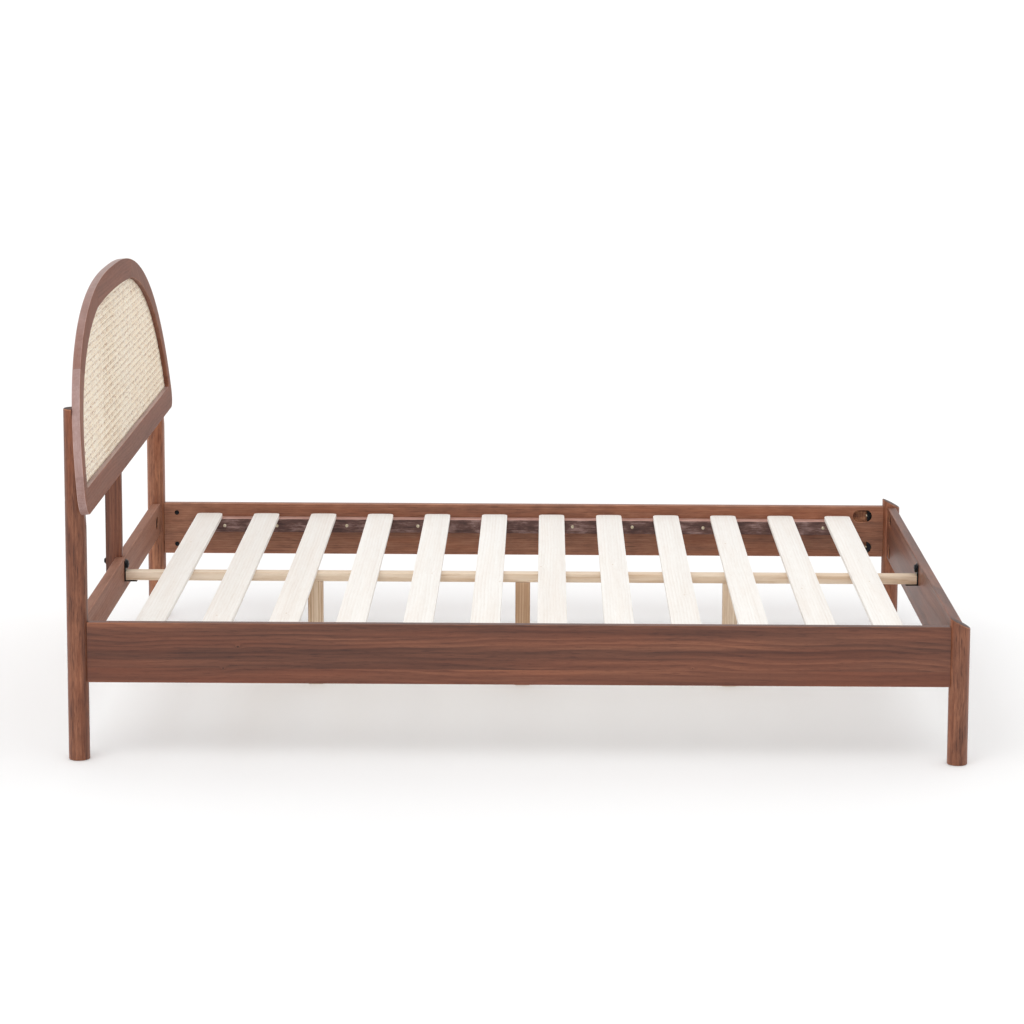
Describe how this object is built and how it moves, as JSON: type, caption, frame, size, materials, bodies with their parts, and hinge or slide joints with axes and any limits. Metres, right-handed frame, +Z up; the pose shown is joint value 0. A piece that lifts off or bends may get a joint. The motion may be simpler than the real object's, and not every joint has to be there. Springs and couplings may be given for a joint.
{
  "type": "bed frame",
  "caption": "Wooden bed frame with round posts, flat rails, a pale slatted base on a centre rail with legs, and a leaning arched headboard filled with cane webbing",
  "frame": {"origin": "on the floor, below the middle of the whole object's length and width", "axes": "+X towards the foot end, -X towards the headboard, +Y across the bed, +Z up"},
  "size_m": [2.143, 1.733, 1.0901],
  "materials": {
    "walnut": "satin walnut stain, straight grain",
    "walnut_post": "satin walnut stain, warmer, grain along the post",
    "rough_ledger": "dark stain on a rough-sawn surface",
    "pale_slat": "bleached, bare and smooth",
    "pine": "bare planed pine",
    "cane": "woven natural cane",
    "black_steel": "black oxide, satin"
  },
  "bodies": {
    "root": {"head_post_near": "walnut_post", "foot_post_near": "walnut_post", "side_rail_near": "walnut", "slat_ledger_near": "rough_ledger", "headboard_bolt_near": "black_steel", "head_rail_bolt_near": "black_steel", "side_rail_head_bolt_near_upper": "black_steel", "barrel_nut_near_upper": "black_steel", "side_rail_foot_bolt_near_upper": "black_steel", "foot_rail_bolt_near_upper": "black_steel", "side_rail_head_bolt_near_lower": "black_steel", "barrel_nut_near_lower": "black_steel", "side_rail_foot_bolt_near_lower": "black_steel", "foot_rail_bolt_near_lower": "black_steel", "headboard_side_near": "walnut", "headboard_shoulder_near": "walnut", "head_post_far": "walnut_post", "foot_post_far": "walnut_post", "side_rail_far": "walnut", "slat_ledger_far": "rough_ledger", "headboard_bolt_far": "black_steel", "head_rail_bolt_far": "black_steel", "side_rail_head_bolt_far_upper": "black_steel", "barrel_nut_far_upper": "black_steel", "side_rail_foot_bolt_far_upper": "black_steel", "foot_rail_bolt_far_upper": "black_steel", "side_rail_head_bolt_far_lower": "black_steel", "barrel_nut_far_lower": "black_steel", "side_rail_foot_bolt_far_lower": "black_steel", "foot_rail_bolt_far_lower": "black_steel", "headboard_side_far": "walnut", "headboard_shoulder_far": "walnut", "head_rail": "walnut", "foot_rail": "walnut", "slat_01": "pale_slat", "slat_02": "pale_slat", "slat_03": "pale_slat", "slat_04": "pale_slat", "slat_05": "pale_slat", "slat_06": "pale_slat", "slat_07": "pale_slat", "slat_08": "pale_slat", "slat_09": "pale_slat", "slat_10": "pale_slat", "slat_11": "pale_slat", "slat_12": "pale_slat", "centre_rail": "pine", "centre_leg_head": "pine", "centre_leg_middle": "pine", "centre_leg_foot": "pine", "centre_bracket_head": "black_steel", "centre_bracket_foot": "black_steel", "headboard_bottom_rail": "walnut", "headboard_crown": "walnut", "cane_panel": "cane", "cane_retaining_strip": "walnut", "headboard_support": "walnut", "support_bolt_lower": "black_steel", "support_bolt_upper": "black_steel"}
  },
  "joints": []
}
